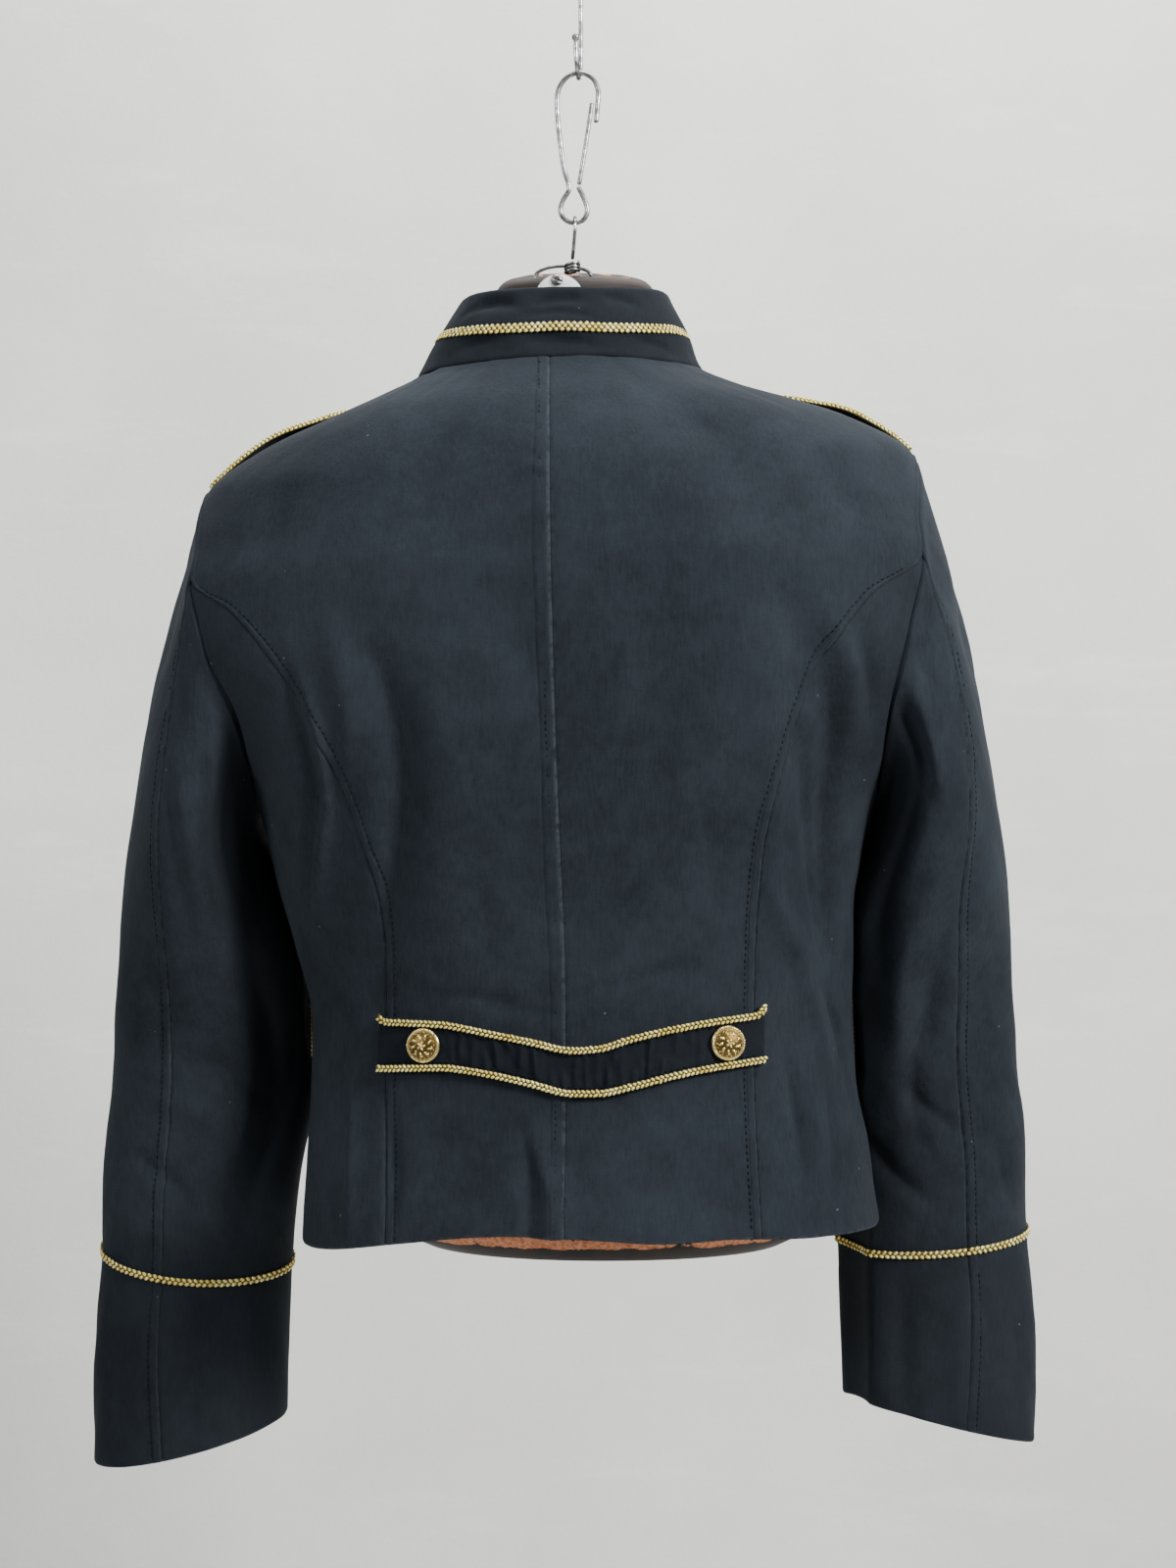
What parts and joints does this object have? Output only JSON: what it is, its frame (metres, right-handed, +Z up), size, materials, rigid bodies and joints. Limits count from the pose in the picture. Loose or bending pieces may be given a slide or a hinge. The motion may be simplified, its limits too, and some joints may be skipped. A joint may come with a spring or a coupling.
{
  "type": "napoleon jacket on a hanging dress form",
  "caption": "Cropped military jacket with stand collar, gold braid, epaulettes and gathered back tab, on a limbless dress form hung from a snap hook.",
  "frame": {"origin": "top end of the hook's shank, where what is above holds the part up", "axes": "+Z up, -Y towards the jacket's back, +X towards the wearer's right sleeve"},
  "size_m": [0.61, 0.2624, 0.9575],
  "materials": {
    "navy_cotton": "dark navy cotton twill, soft sheen",
    "gold_braid": "plaited metallic gold braid",
    "gold_metal": "polished gold, relief",
    "form_paint": "dark brown paint chipped to salmon",
    "steel": "worn bright steel",
    "white_plate": "white enamel"
  },
  "bodies": {
    "root": {"back_left": "navy_cotton", "back_right": "navy_cotton", "back_tab": "navy_cotton", "bail_coil": "steel", "collar": "navy_cotton", "collar_braid": "gold_braid", "cuff_braid_left": "gold_braid", "cuff_braid_right": "gold_braid", "cuff_top_left": "navy_cotton", "cuff_top_right": "navy_cotton", "cuff_under_left": "navy_cotton", "cuff_under_right": "navy_cotton", "dress_form": "form_paint", "epaulette_braid_left": "gold_braid", "epaulette_braid_right": "gold_braid", "epaulette_button_left": "gold_metal", "epaulette_button_right": "gold_metal", "epaulette_left": "navy_cotton", "epaulette_right": "navy_cotton", "flap_braid_left": "gold_braid", "flap_braid_right": "gold_braid", "flap_left": "navy_cotton", "flap_right": "navy_cotton", "front_button_1": "gold_metal", "front_button_2": "gold_metal", "front_button_3": "gold_metal", "front_button_4": "gold_metal", "front_button_5": "gold_metal", "front_button_6": "gold_metal", "front_button_7": "gold_metal", "front_left": "navy_cotton", "front_right": "navy_cotton", "j_hook": "steel", "j_hook_ball": "steel", "neck_bail": "steel", "neck_plate": "white_plate", "plate_screw": "steel", "side_back_left": "navy_cotton", "side_back_right": "navy_cotton", "side_front_left": "navy_cotton", "side_front_right": "navy_cotton", "sleeve_top_left": "navy_cotton", "sleeve_top_right": "navy_cotton", "sleeve_under_left": "navy_cotton", "sleeve_under_right": "navy_cotton", "snap_gate": "steel", "snap_hook": "steel", "swivel_link": "steel", "tab_braid_bottom": "gold_braid", "tab_braid_top": "gold_braid", "tab_button_left": "gold_metal", "tab_button_right": "gold_metal"}
  },
  "joints": []
}
